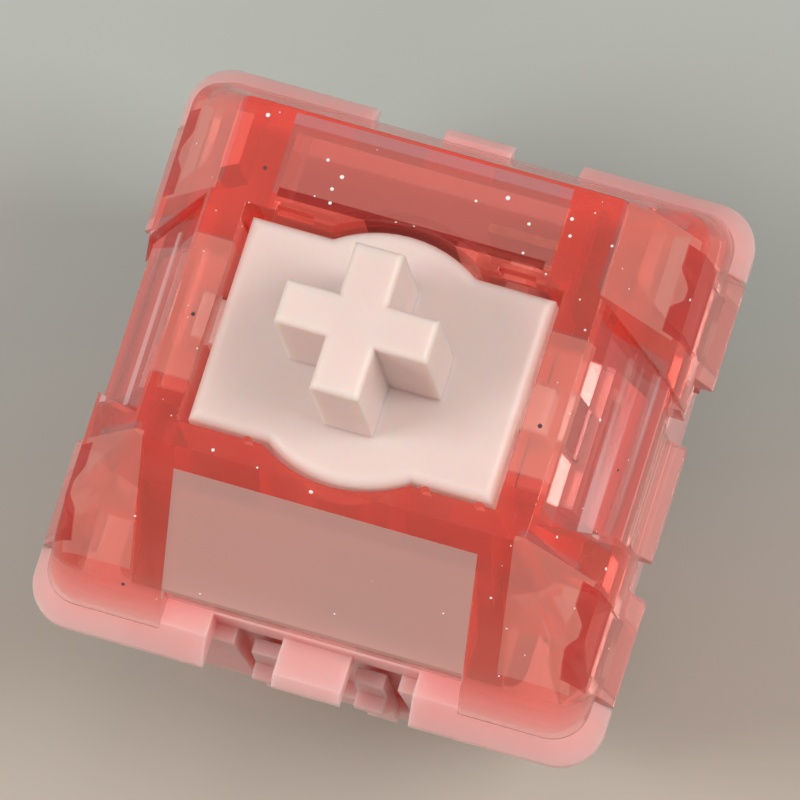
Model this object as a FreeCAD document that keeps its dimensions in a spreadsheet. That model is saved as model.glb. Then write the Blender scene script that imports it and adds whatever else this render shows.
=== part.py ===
import FreeCAD, Part
import math
import os

import Sketcher

from FreeCAD import Placement, Rotation, Vector

# Mechanical keyboard switch with a cross stem, for a 14 mm plate cut-out.
# Millimetres. Z is up, z = 0 is the face that rests on the circuit board, the stem runs on the Z axis.
# +Y is the side of the two solder terminals, -Y the side of the lamp window.

os.makedirs("parts", exist_ok=True)
doc = FreeCAD.newDocument("key_switch")
sheet = doc.addObject("Spreadsheet::Sheet", "sizes")


class Size:
    """A length that carries its number together with the spreadsheet expression it comes from."""

    def __init__(self, number, text):
        self.number = float(number)
        self.text = text

    def __add__(self, other):
        other = size(other)
        return Size(self.number + other.number, "(" + self.text + " + " + other.text + ")")

    def __sub__(self, other):
        other = size(other)
        return Size(self.number - other.number, "(" + self.text + " - " + other.text + ")")

    def __mul__(self, other):
        other = size(other)
        return Size(self.number * other.number, "(" + self.text + " * " + other.text + ")")

    def __truediv__(self, other):
        other = size(other)
        return Size(self.number / other.number, "(" + self.text + " / " + other.text + ")")

    def __neg__(self):
        return Size(-self.number, "(0 - " + self.text + ")")

    __radd__ = __add__

    def __rmul__(self, other):
        return self * other


def size(value):
    if isinstance(value, Size):
        return value
    return Size(value, repr(float(value)))


def name_sizes(sizes):
    """Writes the driving dimensions into the spreadsheet and returns them by name."""
    named = {}
    for row, (alias, number) in enumerate(sizes.items(), start=1):
        cell = "B" + str(row)
        sheet.set("A" + str(row), alias.replace("_", " "))
        sheet.set(cell, str(number))
        sheet.setAlias(cell, alias)
        named[alias] = Size(number, "sizes." + alias)
    doc.recompute()
    return named


# Driving dimensions.
SIZES = {
    "plate_seat_z": 5.0,  # underside of the flange, where it rests on the plate
    "flange_height": 1.0,  # thickness of the flange
    "flange_half": 7.8,  # half width of the flange, both ways
    "flange_land": 0.25,  # upright edge under the flange bevel
    "flange_bevel": 0.66,  # how far the bevel reaches in from the flange edge
    "flange_round": 1.2,  # outside corner radius of the flange
    "flange_corner_reach": 1.85,  # length of a flange corner along the east and west sides
    "flange_notch_half": 2.82,  # half width of the notch in the north and south flange
    "flange_notch_depth": 1.28,  # how far the notch cuts in from the flange edge
    "flange_tab_half": 0.93,  # half width of the tab in the middle of the notch
    "flange_tab_height": 0.55,  # thickness of that tab
    "flange_overhang": 0.85,  # how far the flange stands out over the lower housing
    "tub_draft": 0.25,  # how much the lower housing narrows down to the board
    "tub_round": 0.7,  # corner radius of the lower housing
    "tub_floor": 1.2,  # thickness of the lower housing floor
    "tub_side_wall": 1.4,  # east and west wall of the lower housing under the flange
    "tub_end_wall": 1.1,  # north and south wall of the lower housing under the flange
    "tub_inner_round": 0.4,  # corner radius of that hollow
    "foot_step_x": 0.4,  # step from the flange edge to the upper housing, east and west
    "foot_step_y": 0.5,  # step from the flange edge to the upper housing, north and south
    "foot_round": 1.0,  # corner radius of that foot
    "knee_rise": 2.4,  # height over the flange where the upright corner walls turn into slopes
    "knee_inset": 0.35,  # how much the upper housing narrows up to there
    "knee_round": 0.75,  # corner radius at that height
    "plateau_z": 11.6,  # top face of the upper housing
    "rim_side": 0.97,  # rim of the top face east and west of the stem opening
    "rim_south": 0.65,  # rim of the top face south of the stem opening
    "north_run": 1.55,  # how far the steep north side runs in on its way up
    "plateau_round": 0.3,  # corner radius of the top face
    "roof": 1.0,  # thickness of the top face
    "shell_wall": 0.9,  # wall of the upper housing
    "slope_inset": 1.07,  # sloped south wall, measured level
    "north_wall": 0.75,  # steep north wall, measured level
    "chamber_narrow": 0.38,  # how much the contact chamber narrows, each side, up to the top face
    "collar_wall": 0.42,  # wall of the collar round the stem opening
    "collar_drop": 1.3,  # how far that collar hangs down from the roof
    "notch_near_x": 2.5,  # near end of the two notches in the north edge of the opening
    "notch_far_x": 3.5,  # far end of those notches
    "notch_depth": 0.16,  # how far they cut into the edge
    "notch_height": 0.5,  # how far down they go
    "nub_radius": 0.14,  # radius of the moulded nubs on the south edge of the opening
    "nub_near_x": 2.4,  # near pair of nubs, from the axis
    "nub_far_x": 3.85,  # single nub, east of the axis
    "nub_drop": 0.12,  # top of the nubs under the top face
    "pocket_wall": 1.0,  # outer wall of the corner pockets, measured level
    "pocket_rise": 0.27,  # how far the straight part of a corner pocket stays under the knee
    "pocket_height": 0.9,  # how far a corner pocket reaches above the knee
    "pocket_top_width": 0.6,  # width of a corner pocket at its top
    "pocket_side_wall": 1.04,  # wall between a corner pocket and the side recess
    "pocket_tip": 0.18,  # width of a south pocket at its top
    "side_lead_half": 3.1,  # half width of the side recess at the top face
    "side_rim_half": 2.0,  # half width of the side recess at the foot
    "side_break_drop": 1.4,  # how far under the top face the side recess bends
    "side_break_run": 0.33,  # how far outside the top face that bend lies
    "side_rim_rise": 1.5,  # height over the flange where the side recess turns upright
    "side_rim_inset": 0.35,  # how far the upright face lies inside the foot
    "chamber_play": 0.18,  # clearance of the contacts in their chamber, east and west
    "south_wall": 1.12,  # wall between the stem opening and the lamp window
    "sill": 0.8,  # solid foot under the lamp window, measured level
    "window_inset": 0.66,  # lamp window wall, measured level
    "rib_width": 0.97,  # width of the upright ribs beside the window
    "skirt_start": 2.95,  # where a side skirt starts, from the middle
    "skirt_step": 0.1,  # gap between a side skirt and the flange corner
    "leg_y": 4.5,  # middle of a clip leg, from the axis
    "leg_width": 1.8,  # width of a clip leg
    "leg_thickness": 0.65,  # thickness of a clip leg
    "leg_length": 3.6,  # length of a clip leg under the flange
    "leg_lead": 0.3,  # slanted lead-in at the end of a leg
    "leg_hole_rise": 0.9,  # lower edge of the hole in a leg, over the end of the leg
    "leg_hole_height": 1.3,  # height of that hole
    "leg_hole_width": 1.0,  # width of that hole
    "catch_rise": 0.55,  # how far the catch under a leg hole stands out
    "catch_height": 0.9,  # height of that catch
    "catch_land": 0.22,  # upright edge of that catch
    "tongue_half": 1.58,  # half width of the tongue between the legs
    "tongue_length": 1.6,  # length of the tongue under the flange
    "tongue_lip_reach": 0.45,  # how far the lip on the tongue stands out
    "tongue_lip_height": 0.4,  # height of that lip
    "tongue_thickness": 0.5,  # thickness of the tongue
    "seat_gap": 0.1,  # clearance between the two housings
    "hair": 0.02,  # step where two faces would otherwise meet in one plane
    "stem_half_x": 4.1,  # half width of the stem block, east to west
    "stem_half_y": 2.8,  # half width of the stem block, north to south
    "well_wall": 0.85,  # wall of the stem's rounded flanks round the spring well
    "stem_sunk": 0.3,  # how far the stem's shoulder lies under the top face at rest
    "block_height": 4.1,  # height of the stem block
    "stem_edge": 0.28,  # rounding of the shoulder edge
    "stem_gap": 0.2,  # clearance of the stem in the opening of the top face
    "travel": 4.0,  # full travel of the stem
    "cross_height": 3.9,  # height of the cross over the shoulder
    "cross_bar_x": 4.1,  # length of the east-west bar of the cross
    "cross_bar_y": 4.0,  # length of the north-south bar of the cross
    "cross_thin": 1.17,  # thickness of the east-west bar
    "cross_thick": 1.31,  # thickness of the north-south bar
    "cross_edge": 0.16,  # rounding at the tip of the cross
    "rail_reach": 0.65,  # how far the rails stand out from the stem block
    "rail_width": 1.2,  # width of a stem rail
    "rail_drop": 0.4,  # how far the rails reach under the stem block
    "rail_gap": 0.08,  # running clearance at the rails
    "stop_gap": 0.05,  # play between the rails and the roof at rest
    "post_gap": 0.25,  # clearance between the stem block and the guide posts
    "post_depth": 0.95,  # depth of a guide post, east to west
    "post_half": 1.85,  # half width of a guide post
    "post_rise": 2.75,  # height of the guide posts over the flange
    "pole_radius": 1.05,  # radius of the pole under the stem
    "pole_gap": 0.1,  # running clearance of the pole in its tube
    "pole_length": 5.4,  # length of the pole under the stem block
    "tube_wall": 0.57,  # wall of the centre tube
    "tube_play": 0.25,  # what stays between the tube and the well's ceiling at full travel
    "well_play": 0.33,  # clearance round the spring in its well
    "well_roof": 1.5,  # material over the spring well, up to the stem's shoulder
    "spring_play": 0.26,  # clearance between the spring and the centre tube
    "spring_wire": 0.24,  # wire of the return spring
    "spring_turns": 10,  # turns of the return spring
    "spring_stations": 20,  # stations per turn that the wire is drawn through
    "spring_sides": 8,  # flat sides that stand for the round wire
    "spring_seat_gap": 0.03,  # play at each end of the spring
    "centre_post_radius": 2.0,  # radius of the centre post under the board face
    "bore_floor": 0.7,  # floor of the centre post under the pole bore
    "centre_post_lead": 0.5,  # lead-in chamfer of the centre post
    "bore_play": 0.4,  # what stays under the pole at full travel
    "peg_x": 5.08,  # locating pegs, from the axis
    "peg_radius": 0.85,  # radius of a locating peg
    "peg_lead": 0.35,  # lead-in chamfer of a locating peg
    "lamp_half_x": 1.9,  # half width of the lamp slot in the floor
    "lamp_near_y": 3.3,  # near edge of the lamp slot
    "lamp_far_y": 5.6,  # far edge of the lamp slot
    "clip_recess_half": 2.25,  # half width of the pocket behind a plate clip
    "clip_play": 0.2,  # free space behind a clip arm
    "clip_thickness": 0.4,  # thickness of the clip arms
    "clip_barb_reach": 0.4,  # how far the barb on a clip arm stands out
    "plate_room": 1.6,  # room for the plate between the flange and the barbs
    "clip_barb_edge": 0.3,  # upright edge of the barb
    "clip_barb_fall": 0.1,  # slant of its upper face
    "clip_root_z": 0.6,  # root of the clip arms
    "clip_drop": 0.4,  # free end of the clip arms under the flange
    "clip_arm_out": 1.8,  # outer side of a clip arm, from the middle
    "clip_arm_width": 0.8,  # width of a clip arm
    "blade": 0.25,  # thickness of the terminal blades
    "pin_width": 1.0,  # width of a solder pin
    "pin_length": 3.3,  # length of the solder pins under the board face
    "pin_taper": 0.6,  # tapered end of a solder pin
    "pin_tip": 0.4,  # width of its tip
    "slot_gap": 0.05,  # clearance of a blade in its slot
    "fixed_pin_x": 3.81,  # fixed terminal pin, west of the axis
    "fixed_pin_y": 2.54,  # fixed terminal pin, north of the axis
    "fixed_gap": 0.225,  # clearance between the stem's flank and the fixed blade
    "fixed_blade_out_x": 3.9,  # outer edge of the fixed blade
    "fixed_blade_in_x": 2.7,  # inner edge of the upright part of the fixed blade
    "fixed_arm_end_x": 0.85,  # end of the arm of the fixed blade, west of the axis
    "fixed_arm_foot_z": 5.3,  # lower edge of that arm
    "fixed_arm_top_z": 6.5,  # upper edge of that arm
    "moving_pin_x": 2.54,  # moving terminal pin, east of the axis
    "moving_pin_y": 5.08,  # moving terminal pin, north of the axis
    "moving_blade_in_x": 1.2,  # inner edge of the moving terminal blade
    "moving_blade_out_x": 3.45,  # outer edge of the moving terminal blade
    "moving_blade_top_z": 6.9,  # top of the moving terminal blade
    "leaf_sheet": 0.15,  # thickness of the contact leaf
    "contact_reach": 0.7,  # distance of the leaf from the fixed blade at rest, middle to middle
    "leaf_end_x": 1.6,  # free end of the contact leaf, west of the axis
    "leaf_foot_z": 5.3,  # lower edge of the contact leaf
    "leaf_gap": 0.05,  # play between the leaf and its terminal
    "point_x": 1.2,  # contact points, west of the axis
    "point_rise": 0.11,  # height of a contact point
    "point_width": 0.3,  # width of a contact point
    "point_length": 0.9,  # length of a contact point
    "point_short": 0.07,  # how much shorter the leaf's point is at its west end
    "cam_near_x": 0.9,  # first cam, east of the axis
    "cam_far_x": 2.3,  # second cam, east of the axis
    "cam_width": 0.6,  # width of a cam
    "cam_play": 0.05,  # play between the cams and the leaf at rest
    "cam_fall": 0.25,  # how much a cam thins towards its knee
    "cam_knee_drop": 0.9,  # how far under the collar the cams bend back at rest
}
S = name_sizes(SIZES)

# Heights that follow, from the flange up and from the top face down.
nothing = size(0)
flange_top = S["plate_seat_z"] + S["flange_height"]
roof_z = S["plateau_z"] - S["roof"]
S["knee_z"] = flange_top + S["knee_rise"]
S["side_rim_z"] = flange_top + S["side_rim_rise"]
S["side_break_z"] = S["plateau_z"] - S["side_break_drop"]
S["post_top_z"] = flange_top + S["post_rise"]
S["leg_foot_z"] = S["plate_seat_z"] - S["leg_length"]
S["leg_hole_foot_z"] = S["leg_foot_z"] + S["leg_hole_rise"]
S["leg_hole_top_z"] = S["leg_hole_foot_z"] + S["leg_hole_height"]
S["tongue_foot_z"] = S["plate_seat_z"] - S["tongue_length"]
S["clip_barb_z"] = S["plate_seat_z"] - S["plate_room"]
S["clip_top_z"] = S["plate_seat_z"] - S["clip_drop"]
S["collar_foot_z"] = roof_z - S["collar_drop"]
S["cam_knee_z"] = S["collar_foot_z"] - S["cam_knee_drop"]
S["stem_top_z"] = S["plateau_z"] - S["stem_sunk"]
S["stem_foot_z"] = S["stem_top_z"] - S["block_height"]
S["cross_top_z"] = S["stem_top_z"] + S["cross_height"]
S["rail_foot_z"] = S["stem_foot_z"] - S["rail_drop"]
S["spring_well_top_z"] = S["stem_top_z"] - S["well_roof"]
S["tube_top_z"] = S["spring_well_top_z"] - S["travel"] - S["tube_play"]
S["pole_foot_z"] = S["stem_foot_z"] - S["pole_length"]
S["centre_bore_depth"] = S["travel"] - S["pole_foot_z"] + S["bore_play"]
S["centre_post_length"] = S["centre_bore_depth"] + S["bore_floor"]

# Radii that follow, from the pole outwards: bore, tube, spring, well and the stem's flanks.
S["tube_radius"] = S["pole_radius"] + S["pole_gap"] + S["tube_wall"]
S["spring_radius"] = S["tube_radius"] + S["spring_play"] + S["spring_wire"] * 0.5
S["spring_well"] = S["spring_radius"] + S["spring_wire"] * 0.5 + S["well_play"]
S["stem_bulge"] = S["spring_well"] + S["well_wall"]

# Widths that follow from the flange.
S["flange_crease"] = S["flange_half"] - S["flange_bevel"]
S["foot_half_x"] = S["flange_half"] - S["foot_step_x"]
S["foot_half_y"] = S["flange_half"] - S["foot_step_y"]
S["knee_half_x"] = S["foot_half_x"] - S["knee_inset"]
S["side_rim_x"] = S["foot_half_x"] - S["side_rim_inset"]
S["skirt_inner_x"] = S["foot_half_x"] - S["shell_wall"]
S["tub_half_top"] = S["flange_half"] - S["flange_overhang"]
S["tub_half_foot"] = S["tub_half_top"] - S["tub_draft"]
S["tub_inner_x"] = S["tub_half_top"] - S["tub_side_wall"]
S["tub_inner_y"] = S["tub_half_top"] - S["tub_end_wall"]
S["leg_inner_x"] = S["tub_half_top"] - S["leg_thickness"]
S["tongue_inner_x"] = S["tub_half_top"] - S["tongue_thickness"]
S["tongue_lip_x"] = S["tub_half_top"] + S["tongue_lip_reach"]
S["clip_face_y"] = S["tub_half_top"]
S["clip_back_y"] = S["clip_face_y"] - S["clip_thickness"]
S["clip_recess_y"] = S["clip_back_y"] - S["clip_play"]
S["clip_barb_y"] = S["clip_face_y"] + S["clip_barb_reach"]
S["window_foot_y"] = S["foot_half_y"] - S["sill"]

# Widths that follow from the stem.
S["opening_half_x"] = S["stem_half_x"] + S["stem_gap"]
S["opening_half_y"] = S["stem_half_y"] + S["stem_gap"]
S["plateau_half_x"] = S["opening_half_x"] + S["rim_side"]
S["plateau_south_y"] = S["opening_half_y"] + S["rim_south"]
S["plateau_north_y"] = S["foot_half_y"] - S["north_run"]
S["side_break_x"] = S["plateau_half_x"] + S["side_break_run"]
S["window_top_y"] = S["opening_half_y"] + S["south_wall"]
S["rail_out_x"] = S["stem_half_x"] + S["rail_reach"]
S["post_inner_x"] = S["stem_half_x"] + S["post_gap"]
S["post_out_x"] = S["post_inner_x"] + S["post_depth"]

# Places that follow in the contacts, north of the stem.
S["fixed_plane_y"] = S["stem_bulge"] + S["fixed_gap"] + S["blade"] * 0.5
S["leaf_plane_y"] = S["fixed_plane_y"] + S["contact_reach"]
S["window_half_x"] = S["fixed_blade_out_x"] + S["chamber_play"]
S["chamber_top_half"] = S["window_half_x"] - S["chamber_narrow"]


def run_in(half_low, half_high, low_z, high_z, z):
    """Half width, at height z, of a slope that runs from one half width to another."""
    return half_low - (z - low_z) * ((half_low - half_high) / (high_z - low_z))


def slope_y(z):
    """Distance of the sloped south wall from the axis at height z."""
    return run_in(S["foot_half_y"], S["plateau_south_y"], flange_top, S["plateau_z"], z)


def north_y(z):
    """Distance of the steep north wall from the axis at height z."""
    return run_in(S["foot_half_y"], S["plateau_north_y"], flange_top, S["plateau_z"], z)


def plane_of(body, role):
    for feature in body.Origin.OriginFeatures:
        if feature.Role == role:
            return feature
    raise ValueError(role)


def fix_point(pending, geometry, place, x, y, label):
    """Notes the two coordinate rules of one sketch point; a point on an axis stays on it."""
    for axis, kind, value, letter in ((-2, "DistanceX", x, "x"), (-1, "DistanceY", y, "y")):
        if value is nothing:
            pending.append((Sketcher.Constraint("PointOnObject", geometry, place, axis), None, None))
        else:
            rule = Sketcher.Constraint(kind, geometry, place, value.number)
            pending.append((rule, label + letter, value.text))


def draw_loop(sketch, loop, pending, prefix):
    """Draws a closed outline. A corner is (x, y), or (x, y, centre_x, centre_y, way) where an arc leads on
    to the next corner, with its middle on the given way from the centre."""
    count = len(loop)
    ids = []
    for number, corner in enumerate(loop):
        after = loop[(number + 1) % count]
        start = Vector(corner[0].number, corner[1].number, 0)
        end = Vector(after[0].number, after[1].number, 0)
        if len(corner) == 2:
            ids.append((sketch.addGeometry(Part.LineSegment(start, end), False), 1, 2))
            continue
        middle = Vector(corner[2].number, corner[3].number, 0)
        first = math.atan2(start.y - middle.y, start.x - middle.x)
        last = math.atan2(end.y - middle.y, end.x - middle.x)
        halfway = first + ((last - first) % (2 * math.pi)) * 0.5
        forward = math.cos(halfway) * corner[4][0] + math.sin(halfway) * corner[4][1] > 0
        if not forward:
            first, last = last, first
        circle = Part.Circle(middle, Vector(0, 0, 1), start.distanceToPoint(middle))
        sweep = (last - first) % (2 * math.pi)
        made = sketch.addGeometry(Part.ArcOfCircle(circle, first, first + sweep), False)
        ids.append((made, 1 if forward else 2, 2 if forward else 1))
    for number, corner in enumerate(loop):
        here, begin, finish = ids[number]
        follow, follow_begin, _ = ids[(number + 1) % count]
        pending.append((Sketcher.Constraint("Coincident", here, finish, follow, follow_begin), None, None))
        fix_point(pending, here, begin, corner[0], corner[1], prefix + "p" + str(number))
        if len(corner) > 2:
            rule = Sketcher.Constraint("DistanceX", here, 3, corner[2].number)
            pending.append((rule, prefix + "centre" + str(number), corner[2].text))


def draw(body, name, role, loops, lift):
    """A sketch on one origin plane of the body, lifted along that plane's normal."""
    sketch = body.newObject("Sketcher::SketchObject", name)
    sketch.AttachmentSupport = [(plane_of(body, role), "")]
    sketch.MapMode = "FlatFace"
    sketch.AttachmentOffset = Placement(Vector(0, 0, lift.number), Rotation())
    sketch.setExpression("AttachmentOffset.Base.z", lift.text)
    pending = []
    for number, loop in enumerate(loops):
        if loop[0] == "circle":
            _, x, y, radius = loop
            circle = Part.Circle(Vector(x.number, y.number, 0), Vector(0, 0, 1), radius.number)
            made = sketch.addGeometry(circle, False)
            fix_point(pending, made, 3, x, y, "middle" + str(number))
            rule = Sketcher.Constraint("Radius", made, radius.number)
            pending.append((rule, "radius" + str(number), radius.text))
        else:
            draw_loop(sketch, loop, pending, "l" + str(number))
    sketch.addConstraint([rule for rule, _, _ in pending])
    for index, (_, label, text) in enumerate(pending):
        if label:
            sketch.renameConstraint(index, label)
            sketch.setExpression("Constraints." + label, text)
    sketch.Visibility = False
    return sketch


def rectangle(x_low, x_high, y_low, y_high):
    return [(x_low, y_low), (x_high, y_low), (x_high, y_high), (x_low, y_high)]


def rounded(half_x, half_y, radius, north=None):
    """A rectangle with round corners, centred unless its north side has a distance of its own."""
    near_x, south = half_x - radius, -half_y
    if north is None:
        north = half_y
    return [
        (-near_x, south), (near_x, south, near_x, south + radius, (1, -1)),
        (half_x, south + radius), (half_x, north - radius, near_x, north - radius, (1, 1)),
        (near_x, north), (-near_x, north, -near_x, north - radius, (-1, 1)),
        (-half_x, north - radius), (-half_x, south + radius, -near_x, south + radius, (-1, -1)),
    ]


def grow(body, kind, name, sketch, length):
    feature = body.newObject("PartDesign::" + kind, name)
    feature.Profile = sketch
    feature.Length = length.number
    feature.setExpression("Length", length.text)
    feature.Refine = False
    return feature


def slab(body, kind, name, loops, low, high, role="XY_Plane"):
    """Adds or cuts the prism of the outline between two levels along the plane's normal."""
    if kind == "Pad":
        return grow(body, kind, name, draw(body, name + "_outline", role, loops, low), high - low)
    return grow(body, kind, name, draw(body, name + "_outline", role, loops, high), high - low)


def across(body, kind, name, outline, west, east):
    """The same for an outline drawn in (y, z) between two x levels."""
    return slab(body, kind, name, [outline], west, east, "YZ_Plane")


def along(body, kind, name, outline, south, north):
    """The same for an outline drawn in (x, z) between two y levels; that plane looks south."""
    return slab(body, kind, name, [outline], -north, -south, "XZ_Plane")


def loft(body, kind, name, sections):
    """A ruled loft through outlines at given heights."""
    sketches = []
    for number, (outline, z) in enumerate(sections):
        sketches.append(draw(body, name + "_section_" + str(number), "XY_Plane", [outline], z))
    feature = body.newObject("PartDesign::" + kind, name)
    feature.Profile = sketches[0]
    feature.Sections = sketches[1:]
    feature.Ruled = True
    feature.Refine = False
    return feature


def check(thing):
    """Stops the build at an object that failed, or at a shape that came out empty."""
    empty = hasattr(thing, "Length") and thing.Shape.isNull()
    if "Invalid" in thing.State or "Error" in thing.State or empty:
        raise RuntimeError(thing.Name + " did not build: " + str(thing.State))


def soften(body, name, kind, base, amount, wanted, amount_name):
    """Rounds or bevels the edges of the base feature that the test picks."""
    doc.recompute()
    edges = []
    for number, edge in enumerate(base.Shape.Edges, start=1):
        if wanted(edge):
            edges.append("Edge" + str(number))
    if not edges:
        raise RuntimeError(name + " found no edge")
    feature = body.newObject("PartDesign::" + kind, name)
    feature.Base = (base, edges)
    setattr(feature, amount_name, amount.number)
    feature.setExpression(amount_name, amount.text)
    return feature


def level_edge(z, reach=1e-4):
    """A test that picks the edges lying level at height z."""
    def wanted(edge):
        box = edge.BoundBox
        return abs(box.ZMin - z.number) < reach and abs(box.ZMax - z.number) < reach
    return wanted


def new_body(label):
    body = doc.addObject("PartDesign::Body", label)
    body.Label = label
    return body


def build_top_housing():
    body = new_body("top_housing")
    loft(body, "AdditiveLoft", "outer", [
        (rounded(S["foot_half_x"], S["foot_half_y"], S["foot_round"]), flange_top),
        (rounded(S["knee_half_x"], slope_y(S["knee_z"]), S["knee_round"], north_y(S["knee_z"])), S["knee_z"]),
        (rounded(S["plateau_half_x"], S["plateau_south_y"], S["plateau_round"], S["plateau_north_y"]),
         S["plateau_z"]),
    ])

    # The east and west sides are recessed between two slanting walls that run out from the top face.
    spread = (S["side_lead_half"] - S["side_rim_half"]) / (S["foot_half_x"] - S["plateau_half_x"])

    def side_wall(x):
        return S["side_lead_half"] - (x - S["plateau_half_x"]) * spread

    far = S["foot_half_x"] + S["shell_wall"]
    lift = S["roof"] * 0.5
    for side, tag in ((1, "east"), (-1, "west")):
        sections = []
        for x, z in ((S["plateau_half_x"], S["plateau_z"] + lift), (S["side_break_x"], S["side_break_z"]),
                     (S["side_rim_x"], S["side_rim_z"]), (S["side_rim_x"], flange_top - lift)):
            near_y, far_y = side_wall(x), side_wall(far)
            outline = [(side * x, -near_y), (side * far, -far_y), (side * far, far_y), (side * x, near_y)]
            sections.append((outline, z))
        loft(body, "SubtractiveLoft", tag + "_recess", sections)

    # Chamber of the contacts, under the north part of the top face, with a collar left round the stem.
    chamber_y = S["opening_half_y"]
    low = flange_top - S["roof"]
    sections = []
    for z, half in ((low, S["window_half_x"]), (flange_top, S["window_half_x"]),
                    (S["knee_z"], S["window_half_x"]), (roof_z, S["chamber_top_half"])):
        reach = north_y(flange_top if z is low else z) - S["north_wall"]
        sections.append((rectangle(-half, half, -chamber_y, reach), z))
    loft(body, "SubtractiveLoft", "chamber", sections)
    slab(body, "Pad", "collar",
         [rectangle(-S["window_half_x"], S["window_half_x"], nothing, chamber_y + S["collar_wall"])],
         S["collar_foot_z"], roof_z)
    flank = S["stem_bulge"] + S["stem_gap"]
    slab(body, "Pad", "collar_flank", [("circle", nothing, nothing, flank + S["collar_wall"])],
         S["collar_foot_z"], roof_z)
    wide = S["opening_half_x"]
    slab(body, "Pocket", "stem_space", [rectangle(-wide, wide, -chamber_y, chamber_y)], low, roof_z)
    rail_reach = S["rail_out_x"] + S["rail_gap"] * 2
    rail_side = S["rail_width"] * 0.5 + S["rail_gap"]
    slab(body, "Pocket", "rail_space", [rectangle(-rail_reach, rail_reach, -rail_side, rail_side)],
         low, roof_z)
    post_reach = S["post_out_x"] + S["seat_gap"]
    post_side = S["post_half"] + S["seat_gap"]
    slab(body, "Pocket", "post_space", [rectangle(-post_reach, post_reach, -post_side, post_side)],
         low, S["post_top_z"] + S["seat_gap"])

    # Opening of the top face, with the rounded flanks of the stem.
    slab(body, "Pocket", "opening", [rectangle(-wide, wide, -chamber_y, chamber_y)],
         roof_z - S["roof"], S["plateau_z"] + S["roof"])
    slab(body, "Pocket", "opening_flanks", [("circle", nothing, nothing, flank)],
         low, S["plateau_z"] + S["roof"])
    for east, side in ((1, "east"), (-1, "west")):
        notch_x = sorted_pair(east, S["notch_near_x"], S["notch_far_x"])
        slab(body, "Pocket", side + "_notch",
             [rectangle(*notch_x, chamber_y - S["stem_gap"], chamber_y + S["notch_depth"])],
             S["plateau_z"] - S["notch_height"], S["plateau_z"] + S["roof"])
    nubs = [("circle", x, -(chamber_y + S["hair"]), S["nub_radius"])
            for x in (-S["nub_near_x"], S["nub_near_x"], S["nub_far_x"])]
    slab(body, "Pad", "nubs", nubs, roof_z, S["plateau_z"] - S["nub_drop"])

    # Lamp window: a thin flat panel, ending above the flange.
    top_y = S["window_top_y"]
    drop = (S["plateau_z"] - flange_top) / (S["foot_half_y"] - S["plateau_south_y"])
    window_z = flange_top + (S["foot_half_y"] - S["window_inset"] - top_y) * drop
    panel = [(-top_y, low), (-top_y, window_z), (-(S["foot_half_y"] - S["window_inset"]), flange_top),
             (-(S["foot_half_y"] - S["window_inset"]), low)]
    across(body, "Pocket", "window_back", panel, -S["window_half_x"], S["window_half_x"])
    window_end_z = flange_top + (S["foot_half_y"] - S["window_foot_y"]) * drop
    sill = [(-S["window_foot_y"], low), (-S["window_foot_y"], window_end_z),
            (-(S["foot_half_y"] + S["roof"]), window_end_z), (-(S["foot_half_y"] + S["roof"]), low)]
    across(body, "Pocket", "window_sill", sill, -S["window_half_x"], S["window_half_x"])

    # A pocket in each corner, between the outer wall, the rib beside the window and the slanting side wall.
    near_x = S["window_half_x"] + S["rib_width"]
    wall = S["shell_wall"]
    low_z = flange_top - lift
    for east in (1, -1):
        for north in (1, -1):
            wall_y = north_y if north > 0 else slope_y
            inset_y = S["north_wall"] if north > 0 else S["slope_inset"]
            sections = []
            for z, far_x in ((low_z, S["foot_half_x"] - wall),
                             (S["knee_z"] - S["pocket_rise"], S["knee_half_x"] - S["pocket_wall"]),
                             (S["knee_z"] + S["pocket_height"], near_x + S["pocket_top_width"])):
                start_y = side_wall(near_x) + S["pocket_side_wall"]
                end_y = side_wall(far_x) + S["pocket_side_wall"]
                reach_y = wall_y(z if sections else flange_top) - inset_y
                if len(sections) == 2 and north < 0:
                    reach_y = start_y + S["pocket_tip"]
                outline = [(east * near_x, north * start_y), (east * far_x, north * end_y),
                           (east * far_x, north * reach_y), (east * near_x, north * reach_y)]
                sections.append((outline, z))
            tag = ("north_" if north > 0 else "south_") + ("east" if east > 0 else "west")
            loft(body, "SubtractiveLoft", tag + "_pocket", sections)

    # Skirts that close the flange between its corners, the four clip legs with their holes, the two tongues.
    skirt_end = S["flange_half"] - S["flange_corner_reach"] - S["skirt_step"]
    bevel_foot = S["plate_seat_z"] + S["flange_land"]
    joint_z = flange_top + S["seat_gap"]
    for east, side in ((1, "east"), (-1, "west")):
        skirt = [(east * S["skirt_inner_x"], S["plate_seat_z"]), (east * S["flange_half"], S["plate_seat_z"]),
                 (east * S["flange_half"], bevel_foot), (east * (S["foot_half_x"] - S["hair"]), joint_z),
                 (east * S["skirt_inner_x"], joint_z)]
        hem = [(east * S["skirt_inner_x"], S["plate_seat_z"]),
               (east * (S["foot_half_x"] - S["seat_gap"]), S["plate_seat_z"]),
               (east * (S["foot_half_x"] - S["seat_gap"]), joint_z), (east * S["skirt_inner_x"], joint_z)]
        lead_z = S["leg_foot_z"] + S["leg_lead"]
        leg_out = S["leg_inner_x"] + S["leg_thickness"]
        leg = [(east * S["leg_inner_x"], joint_z), (east * S["leg_inner_x"], lead_z),
               (east * (S["leg_inner_x"] + S["leg_lead"]), S["leg_foot_z"]),
               (east * leg_out, S["leg_foot_z"]), (east * leg_out, joint_z)]
        half_leg = S["leg_width"] * 0.5
        half_hole = S["leg_hole_width"] * 0.5
        for north, end in ((1, "north"), (-1, "south")):
            tag = end + "_" + side
            along(body, "Pad", tag + "_skirt", skirt, *sorted_pair(north, S["skirt_start"], skirt_end))
            along(body, "Pad", tag + "_hem", hem, *sorted_pair(north, S["side_rim_half"], skirt_end))
            leg_y = north * S["leg_y"]
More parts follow.
